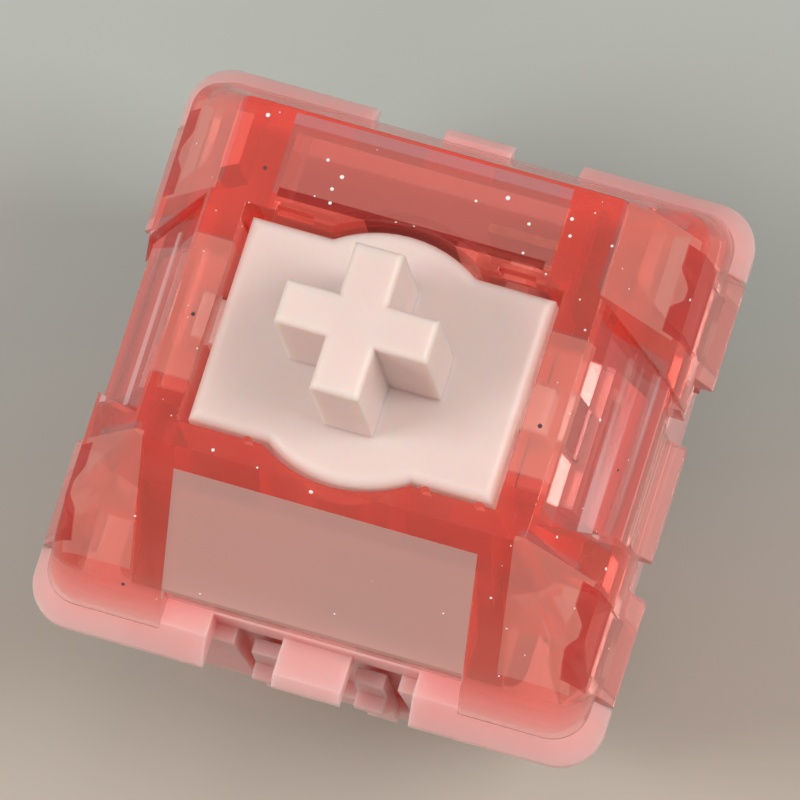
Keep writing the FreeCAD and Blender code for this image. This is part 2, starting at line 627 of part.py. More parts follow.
            along(body, "Pad", tag + "_leg", leg, leg_y - half_leg, leg_y + half_leg)
            hole_x = sorted_pair(east, S["leg_inner_x"] - S["leg_thickness"], leg_out + S["leg_thickness"])
            hole = rectangle(*hole_x, S["leg_hole_foot_z"], S["leg_hole_top_z"])
            along(body, "Pocket", tag + "_leg_hole", hole, leg_y - half_hole, leg_y + half_hole)
        lip_z = S["tongue_foot_z"] + S["tongue_lip_height"]
        lip_top_z = lip_z + S["tongue_lip_height"]
        tongue = [(east * S["tongue_inner_x"], joint_z), (east * S["tongue_inner_x"], S["tongue_foot_z"]),
                  (east * S["tongue_lip_x"], S["tongue_foot_z"]), (east * S["tongue_lip_x"], lip_z),
                  (east * S["tub_half_top"], lip_top_z), (east * S["tub_half_top"], joint_z)]
        along(body, "Pad", side + "_tongue", tongue, -S["tongue_half"], S["tongue_half"])
    return body


def sorted_pair(side, low, high):
    """The two levels of a span, mirrored to the west or south where asked, in rising order."""
    if side > 0:
        return low, high
    return -high, -low


def build_bottom_housing():
    body = new_body("bottom_housing")
    loft(body, "AdditiveLoft", "tub", [
        (rounded(S["tub_half_foot"], S["tub_half_foot"], S["tub_round"]), nothing),
        (rounded(S["tub_half_top"], S["tub_half_top"], S["tub_round"]), S["plate_seat_z"]),
    ])
    edge_z = S["plate_seat_z"] + S["flange_land"]
    slab(body, "Pad", "flange_edge", [rounded(S["flange_half"], S["flange_half"], S["flange_round"])],
         S["plate_seat_z"], edge_z)
    crease_round = S["flange_round"] - (S["flange_half"] - S["flange_crease"]) * 0.5
    loft(body, "AdditiveLoft", "flange_bevel", [
        (rounded(S["flange_half"], S["flange_half"], S["flange_round"]), edge_z),
        (rounded(S["flange_crease"], S["flange_crease"], crease_round), flange_top),
    ])
    slab(body, "Pocket", "hollow", [rounded(S["tub_inner_x"], S["tub_inner_y"], S["tub_inner_round"])],
         S["tub_floor"], flange_top + S["roof"])

    # The flange keeps only its corners on the east and west sides; the upper housing fills the rest.
    over = S["flange_half"] + S["roof"]
    bay_y = S["flange_half"] - S["flange_corner_reach"]
    bay_x = S["skirt_inner_x"] - S["seat_gap"]
    for east, side in ((1, "east"), (-1, "west")):
        slab(body, "Pocket", side + "_bay", [rectangle(*sorted_pair(east, bay_x, over), -bay_y, bay_y)],
             S["plate_seat_z"], flange_top + S["roof"])
        tongue_y = S["tongue_half"] + S["seat_gap"]
        slab(body, "Pocket", side + "_tongue_bay",
             [rectangle(*sorted_pair(east, S["tongue_inner_x"] - S["seat_gap"], over), -tongue_y, tongue_y)],
             S["tongue_foot_z"] - S["seat_gap"], flange_top + S["roof"])
        for north, end in ((1, "north"), (-1, "south")):
            tag = end + "_" + side
            leg_y = S["leg_width"] * 0.5 + S["seat_gap"]
            slab(body, "Pocket", tag + "_leg_bay",
                 [rectangle(*sorted_pair(east, S["leg_inner_x"] - S["seat_gap"], over),
                            north * S["leg_y"] - leg_y, north * S["leg_y"] + leg_y)],
                 S["leg_foot_z"] - S["leg_lead"], flange_top + S["roof"])
            catch_y = S["leg_hole_width"] * 0.5 - S["seat_gap"]
            foot = S["leg_hole_foot_z"] + S["seat_gap"]
            root = S["leg_inner_x"] - S["seat_gap"] * 2
            catch = [(east * root, foot), (east * (root + S["catch_rise"]), foot),
                     (east * (root + S["catch_rise"]), foot + S["catch_land"]),
                     (east * root, foot + S["catch_height"])]
            along(body, "Pad", tag + "_catch", catch,
                  north * S["leg_y"] - catch_y, north * S["leg_y"] + catch_y)

    # North and south: a notch in the flange with a thinner tab, and the sprung plate clip below it.
    notch_y = S["flange_half"] - S["flange_notch_depth"]
    for north, end in ((1, "north"), (-1, "south")):
        for east, side in ((1, "east"), (-1, "west")):
            slab(body, "Pocket", end + "_" + side + "_notch",
                 [rectangle(*sorted_pair(east, S["flange_tab_half"], S["flange_notch_half"]),
                            *sorted_pair(north, notch_y, over))],
                 S["plate_seat_z"] - S["hair"], flange_top + S["roof"])
        slab(body, "Pocket", end + "_tab_top",
             [rectangle(-S["flange_tab_half"], S["flange_tab_half"], *sorted_pair(north, notch_y, over))],
             S["plate_seat_z"] + S["flange_tab_height"], flange_top + S["roof"])
        slab(body, "Pocket", end + "_clip_bay",
             [rectangle(-S["clip_recess_half"], S["clip_recess_half"],
                        *sorted_pair(north, S["clip_recess_y"], over))],
             S["clip_root_z"] * 2, S["plate_seat_z"])
        slim_z = S["clip_root_z"] * 2 - S["seat_gap"]
        arm = [(north * S["clip_recess_y"], S["clip_root_z"]), (north * S["clip_face_y"], S["clip_root_z"]),
               (north * S["clip_face_y"], S["clip_root_z"] * 3),
               (north * S["clip_barb_y"], S["clip_barb_z"] - S["clip_barb_edge"]),
               (north * S["clip_barb_y"], S["clip_barb_z"]),
               (north * S["clip_face_y"], S["clip_barb_z"] + S["clip_barb_fall"]),
               (north * S["clip_face_y"], S["clip_top_z"]), (north * S["clip_back_y"], S["clip_top_z"]),
               (north * S["clip_back_y"], slim_z), (north * S["clip_recess_y"], slim_z)]
        for east, side in ((1, "east"), (-1, "west")):
            span = sorted_pair(east, S["clip_arm_out"] - S["clip_arm_width"], S["clip_arm_out"])
            across(body, "Pad", end + "_" + side + "_clip", arm, *span)

    # Inside: the tube that guides the pole, and the two slotted posts that guide the stem rails.
    slab(body, "Pad", "tube", [("circle", nothing, nothing, S["tube_radius"])], nothing, S["tube_top_z"])
    rail_y = S["rail_width"] * 0.5 + S["rail_gap"]
    for east, side in ((1, "east"), (-1, "west")):
        post_x = sorted_pair(east, S["post_inner_x"], S["post_out_x"])
        slab(body, "Pad", side + "_post", [rectangle(*post_x, -S["post_half"], S["post_half"])],
             nothing, S["post_top_z"])
        groove_x = sorted_pair(east, S["post_inner_x"] - S["rail_gap"], S["rail_out_x"] + S["rail_gap"])
        slab(body, "Pocket", side + "_groove", [rectangle(*groove_x, -rail_y, rail_y)],
             S["tub_floor"], S["post_top_z"] + S["roof"])

    # Under the board face: centre post, two locating pegs, then the bore, the lamp slot and the pin slots.
    post = slab(body, "Pad", "centre_post", [("circle", nothing, nothing, S["centre_post_radius"])],
                -S["centre_post_length"], nothing)
    post = soften(body, "centre_post_lead_in", "Chamfer", post, S["centre_post_lead"],
                  level_edge(-S["centre_post_length"]), "Size")
    for east, side in ((1, "east"), (-1, "west")):
        peg = slab(body, "Pad", side + "_peg", [("circle", east * S["peg_x"], nothing, S["peg_radius"])],
                   -S["centre_post_length"], nothing)

        def peg_tip(edge, middle=east * S["peg_x"].number):
            box = edge.BoundBox
            low = abs(box.ZMax + S["centre_post_length"].number) < 1e-4
            return low and abs(box.Center.x - middle) < S["peg_radius"].number * 0.5

        soften(body, side + "_peg_lead_in", "Chamfer", peg, S["peg_lead"], peg_tip, "Size")
    slab(body, "Pocket", "pole_bore", [("circle", nothing, nothing, S["pole_radius"] + S["pole_gap"])],
         -S["centre_bore_depth"], S["tube_top_z"] + S["roof"])
    slab(body, "Pocket", "lamp_slot",
         [rectangle(-S["lamp_half_x"], S["lamp_half_x"], -S["lamp_far_y"], -S["lamp_near_y"])],
         -S["tub_floor"], S["tub_floor"] * 2)
    half_pin = S["pin_width"] * 0.5 + S["slot_gap"]
    half_blade = S["blade"] * 0.5 + S["slot_gap"]
    for name, x, y in (("fixed_slot", -S["fixed_pin_x"], S["fixed_pin_y"]),
                       ("moving_slot", S["moving_pin_x"], S["moving_pin_y"])):
        slab(body, "Pocket", name, [rectangle(x - half_pin, x + half_pin, y - half_blade, y + half_blade)],
             -S["tub_floor"], S["tub_floor"] * 1.5)
    return body


def build_stem():
    body = new_body("stem")
    block = rectangle(-S["stem_half_x"], S["stem_half_x"], -S["stem_half_y"], S["stem_half_y"])
    slab(body, "Pad", "block", [block],
         S["stem_foot_z"], S["stem_top_z"])
    flanks = slab(body, "Pad", "flanks", [("circle", nothing, nothing, S["stem_bulge"])],
                  S["stem_foot_z"], S["stem_top_z"])
    soften(body, "shoulder_edge", "Fillet", flanks, S["stem_edge"], level_edge(S["stem_top_z"]), "Radius")

    # The cross that takes the keycap, in one outline.
    long_x, long_y = S["cross_bar_x"] * 0.5, S["cross_bar_y"] * 0.5
    half_thin, half_thick = S["cross_thin"] * 0.5, S["cross_thick"] * 0.5
    cross = slab(body, "Pad", "cross", [[
        (-half_thick, -long_y), (half_thick, -long_y), (half_thick, -half_thin), (long_x, -half_thin),
        (long_x, half_thin), (half_thick, half_thin), (half_thick, long_y), (-half_thick, long_y),
        (-half_thick, half_thin), (-long_x, half_thin), (-long_x, -half_thin), (-half_thick, -half_thin),
    ]], S["stem_top_z"], S["cross_top_z"])
    soften(body, "cross_tip", "Fillet", cross, S["cross_edge"], level_edge(S["cross_top_z"]), "Radius")

    # Well for the spring, the pole inside it, the side rails and the two cams.
    slab(body, "Pocket", "well", [("circle", nothing, nothing, S["spring_well"])],
         S["stem_foot_z"] - S["roof"], S["spring_well_top_z"])
    slab(body, "Pad", "pole", [("circle", nothing, nothing, S["pole_radius"])],
         S["pole_foot_z"], S["spring_well_top_z"])
    rail_y = S["rail_width"] * 0.5
    for east, side in ((1, "east"), (-1, "west")):
        rail_x = sorted_pair(east, S["stem_half_x"] - S["stem_edge"], S["rail_out_x"])
        slab(body, "Pad", side + "_rail", [rectangle(*rail_x, -rail_y, rail_y)],
             S["rail_foot_z"], roof_z - S["stop_gap"])
        hook_x = sorted_pair(east, S["spring_well"] + S["stem_edge"], S["stem_half_x"])
        slab(body, "Pad", side + "_rail_root", [rectangle(*hook_x, -rail_y, rail_y)],
             S["rail_foot_z"], S["stem_foot_z"])
    cam_face = S["leaf_plane_y"] - S["leaf_sheet"] * 0.5 - S["cam_play"]
    cam_top = S["collar_foot_z"] - S["stem_gap"]
    root_y = S["stem_half_y"] - S["stem_edge"]
    hang_z = S["leaf_foot_z"] - S["cam_play"]
    cam = [(root_y, S["stem_foot_z"]), (root_y + S["cam_width"] * 0.5, hang_z), (cam_face, hang_z),
           (cam_face, S["moving_blade_top_z"]), (cam_face - S["cam_fall"], S["cam_knee_z"]),
           (root_y, cam_top)]
    for tag, near in (("near", S["cam_near_x"]), ("far", S["cam_far_x"])):
        across(body, "Pad", tag + "_cam", cam, near, near + S["cam_width"])
    return body


def build_fixed_terminal():
    body = new_body("fixed_terminal")
    half = S["blade"] * 0.5
    south, north = S["fixed_plane_y"] - half, S["fixed_plane_y"] + half
    blade = [(-S["fixed_blade_out_x"], S["tub_floor"]), (-S["fixed_blade_in_x"], S["tub_floor"]),
             (-S["fixed_blade_in_x"], S["fixed_arm_foot_z"]), (-S["fixed_arm_end_x"], S["fixed_arm_foot_z"]),
             (-S["fixed_arm_end_x"], S["fixed_arm_top_z"]), (-S["fixed_blade_out_x"], S["fixed_arm_top_z"])]
    along(body, "Pad", "blade", blade, south, north)
    pin_south = S["fixed_pin_y"] - half
    foot_out = S["fixed_pin_x"] + S["pin_width"] * 0.5
    slab(body, "Pad", "foot", [rectangle(-foot_out, -S["fixed_blade_in_x"], pin_south, north)],
         S["tub_floor"], S["tub_floor"] + S["blade"])
    along(body, "Pad", "pin", pin_outline(-S["fixed_pin_x"]), pin_south, S["fixed_pin_y"] + half)
    return body


def pin_outline(x):
    """A solder pin seen from the front, with its tapered tip."""
    half, half_tip = S["pin_width"] * 0.5, S["pin_tip"] * 0.5
    tip = -S["pin_length"]
    return [(x - half, S["tub_floor"] + S["blade"]), (x - half, tip + S["pin_taper"]), (x - half_tip, tip),
            (x + half_tip, tip), (x + half, tip + S["pin_taper"]), (x + half, S["tub_floor"] + S["blade"])]


def build_moving_terminal():
    body = new_body("moving_terminal")
    half = S["blade"] * 0.5
    south, north = S["moving_pin_y"] - half, S["moving_pin_y"] + half
    along(body, "Pad", "blade", rectangle(S["moving_blade_in_x"], S["moving_blade_out_x"],
                                          S["tub_floor"], S["moving_blade_top_z"]), south, north)
    along(body, "Pad", "pin", pin_outline(S["moving_pin_x"]), south, north)
    return body


def build_contact_leaf():
    """A sheet folded back on itself at the edge of its terminal, drawn from above."""
    body = new_body("contact_leaf")
    half = S["leaf_sheet"] * 0.5
    fold_x = S["moving_blade_out_x"] + S["leaf_gap"]
    middle_y = (S["moving_pin_y"] + S["leaf_plane_y"]) * 0.5
    radius = (S["moving_pin_y"] - S["leaf_plane_y"]) * 0.5
    outer, inner = radius + half, radius - half
    outline = [(fold_x, middle_y - outer, fold_x, middle_y, (1, 0)), (fold_x, middle_y + outer),
               (fold_x, middle_y + inner, fold_x, middle_y, (1, 0)), (fold_x, middle_y - inner),
               (-S["leaf_end_x"], S["leaf_plane_y"] + half), (-S["leaf_end_x"], S["leaf_plane_y"] - half)]
    slab(body, "Pad", "sheet", [outline], S["leaf_foot_z"], S["moving_blade_top_z"])
    return body


def build_points():
    """The crossed three-sided contact points, one on the fixed arm and one on the leaf."""
    half_width, half_length = S["point_width"] * 0.5, S["point_length"] * 0.5
    middle_z = (S["fixed_arm_foot_z"] + S["fixed_arm_top_z"]) * 0.5
    fixed = new_body("fixed_contact_point")
    face = S["fixed_plane_y"] + S["blade"] * 0.5
    x = -S["point_x"]
    ridge = [(x - half_width, face), (x + half_width, face), (x, face + S["point_rise"])]
    slab(fixed, "Pad", "ridge", [ridge],
         middle_z - half_length, middle_z + half_length)
    moving = new_body("leaf_contact_point")
    face = S["leaf_plane_y"] - S["leaf_sheet"] * 0.5
    across(moving, "Pad", "ridge", [(face, middle_z - half_width), (face, middle_z + half_width),
                                    (face - S["point_rise"], middle_z)],
           x - half_length + S["point_short"], x + half_length)
    return fixed, moving


def build_spring():
    """Wire wound between the floor of the lower housing and the ceiling of the stem well. The round wire is
    drawn with flat sides, lofted from station to station along the winding."""
    feature = doc.addObject("Part::Feature", "return_spring")
    feature.Label = "return_spring"
    wire_radius = S["spring_wire"].number * 0.5
    low = S["tub_floor"] + S["spring_seat_gap"]
    high = S["spring_well_top_z"] - S["spring_seat_gap"]
    rise = high.number - low.number - 2 * wire_radius
    stations = round(S["spring_turns"].number * S["spring_stations"].number)
    sides = round(S["spring_sides"].number)
    rings = []
    for station in range(stations + 1):
        turn = 2 * math.pi * station / S["spring_stations"].number
        out = Vector(math.cos(turn), math.sin(turn), 0)
        middle = out * S["spring_radius"].number + Vector(0, 0, wire_radius + rise * station / stations)
        ring = []
        for side in range(sides):
            angle = 2 * math.pi * (side + 0.5) / sides
            across_wire = out * (wire_radius * math.cos(angle)) + Vector(0, 0, wire_radius * math.sin(angle))
            ring.append(middle + across_wire)
        rings.append(Part.makePolygon(ring + ring[:1]))
    feature.Shape = Part.makeLoft(rings, True, True)
    feature.Placement = Placement(Vector(0, 0, low.number), Rotation())
    return feature


parts = [build_top_housing(), build_bottom_housing(), build_stem(), build_spring(), build_fixed_terminal(),
         build_moving_terminal(), build_contact_leaf(), *build_points()]
for part in parts:
    if part.TypeId == "PartDesign::Body":
        part.Tip.Refine = True
doc.recompute()
for thing in doc.Objects:
    check(thing)
for part in parts:
    if not part.Shape.isValid():
        raise RuntimeError(part.Label + " is not a valid solid")
for part in parts:
    part.Shape.exportStep("parts/" + part.Label + ".step")
    print(part.Label, len(part.Shape.Solids), round(part.Shape.Volume, 3))
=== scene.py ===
"""Finish, light and camera of a see-through mechanical keyboard switch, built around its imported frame.

Lengths are in metres. +Z runs up the stem, +Y towards the terminals and -Y towards the lamp window.
"""

import math
import random

import bmesh
import bpy
from mathutils import Matrix, Vector
from mathutils.bvhtree import BVHTree


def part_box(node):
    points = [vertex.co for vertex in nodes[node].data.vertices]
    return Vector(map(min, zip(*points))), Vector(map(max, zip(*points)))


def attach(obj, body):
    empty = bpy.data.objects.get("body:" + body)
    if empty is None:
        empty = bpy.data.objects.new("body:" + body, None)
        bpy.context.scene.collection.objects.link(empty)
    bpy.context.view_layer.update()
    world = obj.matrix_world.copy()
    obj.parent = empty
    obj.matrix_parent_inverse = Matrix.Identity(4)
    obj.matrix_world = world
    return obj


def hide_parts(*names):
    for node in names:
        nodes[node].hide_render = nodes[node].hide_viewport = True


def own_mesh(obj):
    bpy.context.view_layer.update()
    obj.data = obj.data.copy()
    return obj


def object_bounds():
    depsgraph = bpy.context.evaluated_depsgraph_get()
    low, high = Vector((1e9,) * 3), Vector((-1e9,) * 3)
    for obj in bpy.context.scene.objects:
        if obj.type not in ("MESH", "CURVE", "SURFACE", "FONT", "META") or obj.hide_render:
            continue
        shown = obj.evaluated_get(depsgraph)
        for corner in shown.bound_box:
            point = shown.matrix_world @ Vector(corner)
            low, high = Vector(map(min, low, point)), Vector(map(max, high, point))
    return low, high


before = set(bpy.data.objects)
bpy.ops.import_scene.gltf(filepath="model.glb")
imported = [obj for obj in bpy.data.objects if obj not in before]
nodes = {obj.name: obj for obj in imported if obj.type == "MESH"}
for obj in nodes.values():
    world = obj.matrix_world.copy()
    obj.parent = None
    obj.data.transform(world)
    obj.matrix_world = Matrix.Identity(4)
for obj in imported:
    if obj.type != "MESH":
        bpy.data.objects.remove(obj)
cad_low, cad_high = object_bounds()

MM = 0.001
PHOTO_SIZE = 800
PHOTO_MIDDLE = PHOTO_SIZE / 2

# Camera: the photo looks steeply down from the south-east, with the switch turned a little clockwise.
CAMERA_AZIMUTH = math.radians(38.019)
CAMERA_ELEVATION = math.radians(74.855)
CAMERA_ROLL = math.radians(-21.317)
CAMERA_DISTANCE = 350 * MM
CAMERA_TARGET = Vector((-0.773, 1.4665, 0.4405)) * MM
CAMERA_LENS = 594.8
CAMERA_SENSOR = 36.0
CAMERA_NEAR = 10 * MM
CAMERA_FAR = 10.0

# Light: one softbox on each side of the frame and a soft sky.
SOFTBOX_SIDE = 260 * MM
SOFTBOX_FORWARD = 35 * MM
SOFTBOX_HEIGHT = 250 * MM
SOFTBOX_WIDTH = 150 * MM
SOFTBOX_DEPTH = 210 * MM
LEFT_POWER = 0.74
RIGHT_POWER = 0.81
SKY_LOW = (0.30, 0.31, 0.31, 1)
SKY_HIGH = (0.52, 0.51, 0.50, 1)
BACKDROP = (0.475, 0.485, 0.440, 1)
LIGHT_BOUNCES = 24

FLOOR_HALF = 1.6
FLOOR_COOL_HEADING = math.radians(106.0)
FLOOR_TURN = 7 * MM

BRASS_PIECES = (
    "fixed_terminal", "moving_terminal", "contact_leaf", "fixed_contact_point", "leaf_contact_point")

# Lamp window in the south slope.
WINDOW_HALF_X = 4.1 * MM
WINDOW_SOUTH = -6.7 * MM
WINDOW_NORTH = -4.1 * MM
WINDOW_SKIN = 0.2 * MM
SLOPE_FOOT = (0, -7.3 * MM, 6.0 * MM)
SLOPE_TOP = (0, -3.65 * MM, 11.6 * MM)

# The red moulding's own colour covers this share of it, and its matt window has this roughness.
DEEP_SHARE = 0.26
FROST_ROUGHNESS = 0.42

# Heights between which the pale foot of the upper housing turns deep red.
FOOT_FADE = (6.1 * MM, 7.6 * MM)

# Parts of the upper housing with a tone of their own, on both sides of the axis: x span, then y span, in mm.
# Some of these tones are painted light, painted shade and a painted reflection, as marked.
THIN_ZONES = [
    ((4.3, 5.4), (-1.95, 1.95)),
    ((5.4, 7.0), (-2.6, 2.6)),
    ((5.1, 6.5), (3.3, 6.2)),
    ((5.1, 6.5), (-6.2, -3.3)),
]
# Painted light: the middle and corner slopes, painted the lit pink that the lamps give them.
LIT_PANEL_ZONES = [
    ((4.25, 5.45), (-1.9, 1.9)),
    ((5.2, 6.9), (3.15, 5.9)),
    ((5.0, 6.9), (-6.3, -3.5)),
]
TERMINAL_BAY = [((-1.0, 3.75), (3.45, 5.35))]
# Painted shadow: a thin near-black line across the terminal bay.
BAY_SHADOW_LINE = [((-1.0, 3.6), (3.38, 3.62))]
# Painted reflection: a grey pink strip at the north end of the terminal bay, for the surroundings seen in
# the cavity's north wall.
BAY_REFLECTION_STRIP = [((-1.0, 3.75), (5.35, 5.65))]
NORTH_SLOPE = [((-1.0, 5.6), (5.75, 7.3))]
# Painted highlight: pale streaks along the middle of each side.
SIDE_SLOPE = [((6.05, 7.05), (-2.5, 2.3))]

# Red bands outside the corner pockets, each with a waist, in mm.
BAND_NEAR = 6.62
BAND_FAR = 7.25
BAND_WAIST = 0.26
BAND_WAIST_FROM = 0.1
BAND_WAIST_TO = 0.6
BAND_SOFT = 0.05
BAND_MIDDLES = (4.45, -4.85)
BAND_HALF = 1.2


def node(tree, kind, inputs=None, **settings):
    """Adds a shader node. An input is a plain value, or another node's output socket."""
    made = tree.nodes.new("ShaderNode" + kind)
    for name, value in settings.items():
        setattr(made, name, value)
    for name, value in (inputs or {}).items():
        if isinstance(value, bpy.types.NodeSocket):
            tree.links.new(value, made.inputs[name])
        else:
            made.inputs[name].default_value = value
    return made


def new_material(name):
    """An empty node material, its output node and the object coordinates that its textures read."""
    material = bpy.data.materials.new(name)
    material.use_nodes = True
    tree = material.node_tree
    tree.nodes.clear()
    output = tree.nodes.new("ShaderNodeOutputMaterial")
    place = node(tree, "TexCoord").outputs["Object"]
    return material, tree, output, place


def noise(tree, place, scale, detail=3.0, roughness=0.5, stretch=(1, 1, 1)):
    """Grey noise of a given number of cells to the metre, stretched along an axis if wanted."""
    mapped = node(tree, "Mapping", {"Vector": place, "Scale": stretch})
    made = node(tree, "TexNoise", {"Vector": mapped.outputs["Vector"], "Scale": scale, "Detail": detail,
                                   "Roughness": roughness})
    return made.outputs["Fac"]


def ramp(tree, factor, low, high, start=0.3, end=0.7):
    """A colour that goes from low to high as the factor goes from start to end."""
    made = node(tree, "ValToRGB", {"Fac": factor})
    made.color_ramp.elements[0].position = start
    made.color_ramp.elements[0].color = low
    made.color_ramp.elements[1].position = end
    made.color_ramp.elements[1].color = high
    return made.outputs["Color"]


def spread(tree, factor, low, high, start=0.3, end=0.7, curve="LINEAR"):
    """A number that goes from low to high as the factor goes from start to end."""
    made = node(tree, "MapRange", {"Value": factor, "From Min": start, "From Max": end, "To Min": low,
                                   "To Max": high}, interpolation_type=curve)
    return made.outputs["Result"]


def bump(tree, height, depth, strength=1.0, under=None):
    """A normal bent by a height map of the given depth, on top of another normal if one is given."""
    inputs = {"Height": height, "Distance": depth, "Strength": strength}
    if under is not None:
        inputs["Normal"] = under
    return node(tree, "Bump", inputs).outputs["Normal"]


def multiply(tree, first, second):
    """The product of two numbers in a shader."""
    return node(tree, "Math", {0: first, 1: second}, operation="MULTIPLY").outputs[0]


def larger(tree, first, second):
    """The larger of two numbers in a shader."""
    return node(tree, "Math", {0: first, 1: second}, operation="MAXIMUM").outputs[0]


def magnitude(tree, value):
    """A number in a shader without its sign."""
    return node(tree, "Math", {0: value}, operation="ABSOLUTE").outputs[0]


def reach_along(tree, place, direction):
    """How far a place lies along a direction."""
    return node(tree, "VectorMath", {0: place, 1: direction}, operation="DOT_PRODUCT").outputs["Value"]


def within(tree, value, low, high):
    """One where a number lies between two limits, else nought."""
    over = node(tree, "Math", {0: value, 1: low}, operation="GREATER_THAN").outputs[0]
    under = node(tree, "Math", {0: value, 1: high}, operation="LESS_THAN").outputs[0]
    return multiply(tree, over, under)


def any_of(tree, masks):
    """One where any of the masks is one."""
    total = masks[0]
    for mask in masks[1:]:
        total = larger(tree, total, mask)
    return total


def window_frost(tree, place, split):
    """One on the outer face of the lamp window in the south slope, which was left matt, else nought."""
    foot, top = Vector(SLOPE_FOOT), Vector(SLOPE_TOP)
    outwards = (top - foot).cross(Vector((-1, 0, 0))).normalized()
    surface = outwards.dot(foot)
    skin = within(tree, reach_along(tree, place, outwards), surface - WINDOW_SKIN, surface + WINDOW_SKIN)
    over_x = within(tree, split.outputs["X"], -WINDOW_HALF_X, WINDOW_HALF_X)
    over_y = within(tree, split.outputs["Y"], WINDOW_SOUTH, WINDOW_NORTH)
    return multiply(tree, multiply(tree, over_x, over_y), skin)


def zone_mask(tree, across, along, zones):
    """One over the given parts of the plan, else nought."""
    boxes = []
    for (near_x, far_x), (low_y, high_y) in zones:
        over_x = within(tree, across, near_x * MM, far_x * MM)
        over_y = within(tree, along, low_y * MM, high_y * MM)
        boxes.append(multiply(tree, over_x, over_y))
    return any_of(tree, boxes)


def pocket_bands(tree, across, along):
    """One over the waisted band outside each corner pocket, else nought."""
    limit = within(tree, across, BAND_NEAR * MM, BAND_FAR * MM)
    bands = []
    for middle in BAND_MIDDLES:
        offset = node(tree, "Math", {0: along, 1: middle * MM}, operation="SUBTRACT").outputs[0]
        distance = magnitude(tree, offset)
        edge = spread(tree, distance, (BAND_NEAR + BAND_WAIST) * MM, BAND_NEAR * MM,
                      BAND_WAIST_FROM * MM, BAND_WAIST_TO * MM, curve="SMOOTHSTEP")
        past = node(tree, "Math", {0: across, 1: edge}, operation="SUBTRACT").outputs[0]
        outside = spread(tree, past, 0.0, 1.0, 0.0, BAND_SOFT * MM)
        reach = within(tree, distance, -BAND_SOFT * MM, BAND_HALF * MM)
        bands.append(multiply(tree, outside, multiply(tree, reach, limit)))
    return any_of(tree, bands)


def ripples(tree, place, scale, stretch, end):
    """One on thin streaks along one axis, nought between them."""
    return spread(tree, noise(tree, place, scale, detail=1, stretch=stretch), 0.0, 1.0, 0.50, end)


def mix_colour(tree, factor, low, high):
    """A colour between two others, each a plain value or an output socket."""
    made = node(tree, "Mix", data_type="RGBA")
    for index, value in ((0, factor), (6, low), (7, high)):
        if isinstance(value, bpy.types.NodeSocket):
            tree.links.new(value, made.inputs[index])
        else:
            made.inputs[index].default_value = value
    return made.outputs[2]


def housing_milk(tree, place, split, normal, frost):
    """The cloudy part of the red moulding: its shader, and the share that it covers of the glass.
    Some of its tones are painted light: lit slopes, highlight streaks, a shadow line and a reflection strip.
    """
    across = magnitude(tree, split.outputs["X"])
    along = split.outputs["Y"]
    back = node(tree, "NewGeometry").outputs["Backfacing"]
    outer = node(tree, "Math", {0: 1.0, 1: back}, operation="SUBTRACT").outputs[0]
    thin = zone_mask(tree, across, along, THIN_ZONES)
    foot = spread(tree, split.outputs["Z"], 1.0, 0.0, *FOOT_FADE)
    lit_panels, bay, slot, edge, north, side = [
        multiply(tree, zone_mask(tree, across, along, zones), outer)
        for zones in (LIT_PANEL_ZONES, TERMINAL_BAY, BAY_SHADOW_LINE, BAY_REFLECTION_STRIP, NORTH_SLOPE, SIDE_SLOPE)]
    bands = multiply(tree, pocket_bands(tree, across, along), outer)
    north_streaks = multiply(tree, north, ripples(tree, place, 2600, (0.02, 1, 0.4), 0.62))
    side_highlight_streaks = multiply(tree, side, ripples(tree, place, 3000, (1, 0.02, 0.4), 0.60))
    # The mask, tone and share of each layer, from the lowest up.
    layers = [
        (thin, (0.72, 0.40, 0.37, 1), 0.16),
        (foot, (0.62, 0.38, 0.34, 1), 0.34),
        # Painted light: lit pink on the middle and corner slopes.
        (lit_panels, (0.80, 0.295, 0.235, 1), 0.44),
        (bay, (0.42, 0.155, 0.13, 1), 0.50),
        # Painted shadow line in the terminal bay.
        (slot, (0.20, 0.015, 0.015, 1), 0.58),
        # Painted reflection of the surroundings at the north end of the terminal bay.
        (edge, (0.46, 0.26, 0.26, 1), 0.50),
        (north_streaks, (0.70, 0.38, 0.36, 1), 0.42),
        # Painted highlight streaks on the middle of each side.
        (side_highlight_streaks, (0.80, 0.55, 0.54, 1), 0.50),
        (bands, (0.52, 0.045, 0.038, 1), 0.55),
        (frost, (0.56, 0.395, 0.345, 1), 0.62),
    ]
    tone = ramp(tree, noise(tree, place, 500, detail=3), (0.88, 0.13, 0.09, 1), (0.95, 0.18, 0.13, 1))
    share = DEEP_SHARE
    for mask, layer_tone, layer_share in layers:
        tone = mix_colour(tree, mask, tone, layer_tone)
        share = spread(tree, mask, share, layer_share, 0, 1)
    return node(tree, "BsdfDiffuse", {"Color": tone, "Normal": normal}), share


